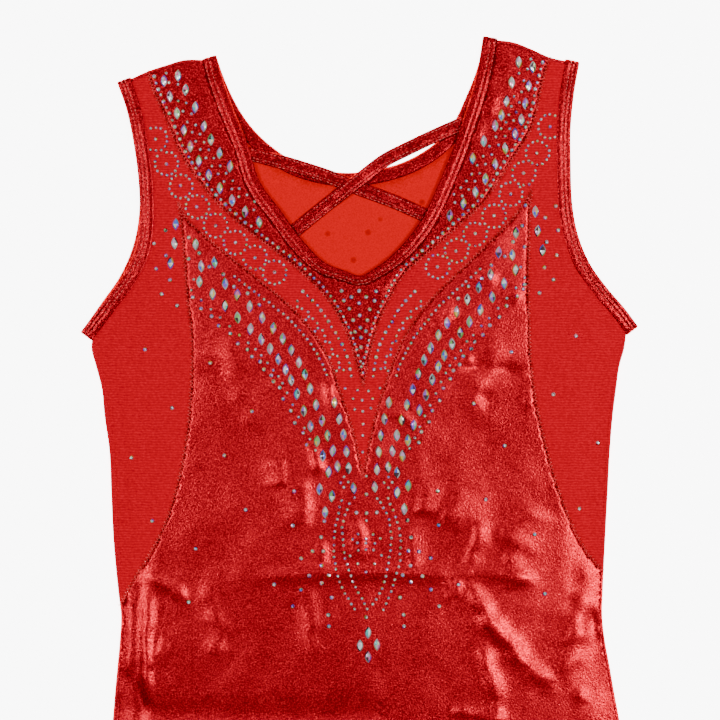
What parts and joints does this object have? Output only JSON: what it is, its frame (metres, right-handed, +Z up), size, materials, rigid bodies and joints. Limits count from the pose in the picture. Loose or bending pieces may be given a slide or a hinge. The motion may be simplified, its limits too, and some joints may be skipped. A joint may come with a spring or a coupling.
{
  "type": "sleeveless gymnastics leotard",
  "caption": "Sleeveless gymnastics leotard laid flat, foil and mesh panels, crossed straps at the neck, bound edges, stone-trimmed front.",
  "frame": {"origin": "on the table under the middle of the garment's outline", "axes": "+Y from the crotch to the shoulders, +X to the right as seen from above, +Z up out of the front"},
  "size_m": [0.3336, 0.6623, 0.007],
  "materials": {
    "foil_cloth": "deep red foil-printed stretch cloth, fine glitter, soft sheen",
    "mesh_cloth": "matt red stretch mesh with fine cross lines",
    "back_cloth": "foil-printed outside, bright matt red inside",
    "binding_cloth": "folded foil strip with two rows of stitching",
    "strap_cloth": "flat foil tube with stitched edges",
    "stone_glass": "foiled glass stones with a rainbow coating, glued on",
    "thread": "red polyester sewing thread"
  },
  "bodies": {
    "root": {"neck_foil": "foil_cloth", "front_body": "foil_cloth", "front_mesh": "mesh_cloth", "back_body": "back_cloth", "back_mesh_left": "mesh_cloth", "back_mesh_right": "mesh_cloth", "neck_binding": "binding_cloth", "armhole_binding_left": "binding_cloth", "armhole_binding_right": "binding_cloth", "leg_binding_left": "binding_cloth", "leg_binding_right": "binding_cloth", "cross_strap_under": "strap_cloth", "cross_strap_over": "strap_cloth"}
  },
  "joints": []
}
